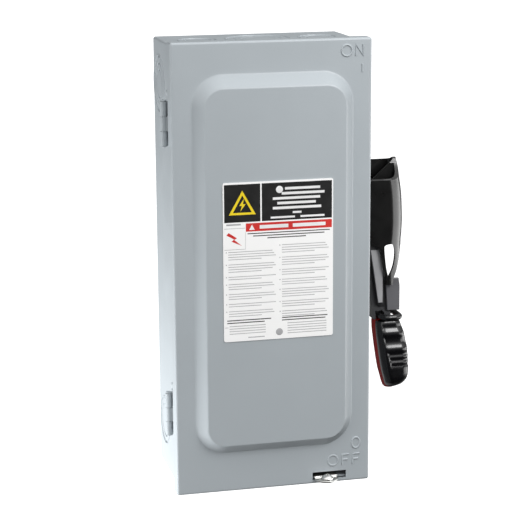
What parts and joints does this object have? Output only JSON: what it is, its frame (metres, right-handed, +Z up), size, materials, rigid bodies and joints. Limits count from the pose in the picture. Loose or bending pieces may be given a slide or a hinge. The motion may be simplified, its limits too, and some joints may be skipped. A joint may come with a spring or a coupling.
{
  "type": "safety switch disconnect box",
  "caption": "Wall-mounted steel safety switch box with hinged raised-panel cover, side handle, fused knife-blade switch, conduit knockouts and a latch tab with a screw.",
  "frame": {"origin": "centre of the box's flat back face, on the wall plane", "axes": "+X to the user's right (handle side), +Y into the wall, -Y toward the user, +Z up"},
  "size_m": [0.2137, 0.104, 0.371],
  "materials": {
    "gray_paint": "light gray baked enamel, slight orange peel",
    "label_film": "white printed vinyl label",
    "zinc_plate": "bright zinc plated",
    "black_plastic": "satin black moulded",
    "lever_steel": "satin dark gray",
    "dark_gray_plastic": "matte dark gray",
    "grip_black": "glossy black moulded",
    "grip_red": "glossy red moulded",
    "phenolic": "black moulded phenolic",
    "tinned_copper": "copper, lightly tinned",
    "aluminium": "as extruded",
    "spring_steel": "oiled spring wire",
    "fuse_fibre": "fibre tube with brass ferrules",
    "clear_shield": "clear polycarbonate"
  },
  "bodies": {
    "enclosure": {"enclosure_back": "gray_paint", "enclosure_box": "gray_paint", "upper_hinge_box_leaf": "gray_paint", "lower_hinge_box_leaf": "gray_paint", "upper_hinge_pin": "gray_paint", "lower_hinge_pin": "gray_paint", "hasp_tab": "zinc_plate", "latch_screw": "zinc_plate", "mounting_pan": "zinc_plate", "mechanism_frame": "zinc_plate", "rotor_bearing": "zinc_plate", "interlock_pin": "zinc_plate", "line_lug_1_screw": "zinc_plate", "line_lug_2_screw": "zinc_plate", "line_lug_3_screw": "zinc_plate", "load_lug_1_screw": "zinc_plate", "load_lug_2_screw": "zinc_plate", "load_lug_3_screw": "zinc_plate", "handle_base": "black_plastic", "line_base": "phenolic", "load_base": "phenolic", "line_jaw_1": "tinned_copper", "line_jaw_2": "tinned_copper", "line_jaw_3": "tinned_copper", "fuse_clip_upper_1": "tinned_copper", "fuse_clip_upper_2": "tinned_copper", "fuse_clip_upper_3": "tinned_copper", "fuse_clip_lower_1": "tinned_copper", "fuse_clip_lower_2": "tinned_copper", "fuse_clip_lower_3": "tinned_copper", "line_lug_1": "aluminium", "line_lug_2": "aluminium", "line_lug_3": "aluminium", "load_lug_1": "aluminium", "load_lug_2": "aluminium", "load_lug_3": "aluminium", "ground_lug": "aluminium", "fuse_1": "fuse_fibre", "fuse_2": "fuse_fibre", "fuse_3": "fuse_fibre", "line_shield": "clear_shield"},
    "cover": {"cover_door": "gray_paint", "label_plate": "label_film", "upper_hinge_cover_leaf": "gray_paint", "lower_hinge_cover_leaf": "gray_paint"},
    "handle": {"drive_shaft": "zinc_plate", "drive_crank": "zinc_plate", "torsion_spring": "spring_steel", "lever_arm": "lever_steel", "handle_hood": "black_plastic", "lock_plate": "dark_gray_plastic", "grip_front": "grip_black", "grip_back": "grip_red", "grip_bead": "grip_black"},
    "rotor": {"rotor_bar": "phenolic", "rotor_crank": "zinc_plate", "knife_blade_1": "tinned_copper", "knife_blade_2": "tinned_copper", "knife_blade_3": "tinned_copper"},
    "interlock": {"interlock_lever": "zinc_plate"}
  },
  "joints": [
    {"name": "door_hinge", "type": "hinge", "parent": "enclosure", "child": "cover", "pos_m": [-0.0845, -0.0745, 0], "axis": [0, 0, -1], "range_deg": [0, 115]},
    {"name": "handle_throw", "type": "hinge", "parent": "enclosure", "child": "handle", "pos_m": [0.09, -0.05, 0.033], "axis": [-1, 0, 0], "range_deg": [0, 165]},
    {"name": "rotor_turn", "type": "hinge", "parent": "enclosure", "child": "rotor", "pos_m": [0, -0.05, 0.033], "axis": [-1, 0, 0], "range_deg": [0, 45.01]},
    {"name": "interlock_swing", "type": "hinge", "parent": "enclosure", "child": "interlock", "pos_m": [0.0745, -0.035, 0.07], "axis": [-1, 0, 0], "range_deg": [0, 10]}
  ],
  "couplings": [
    {"joint": "rotor_turn", "follows": "handle_throw", "ratio": 0.27273}
  ]
}
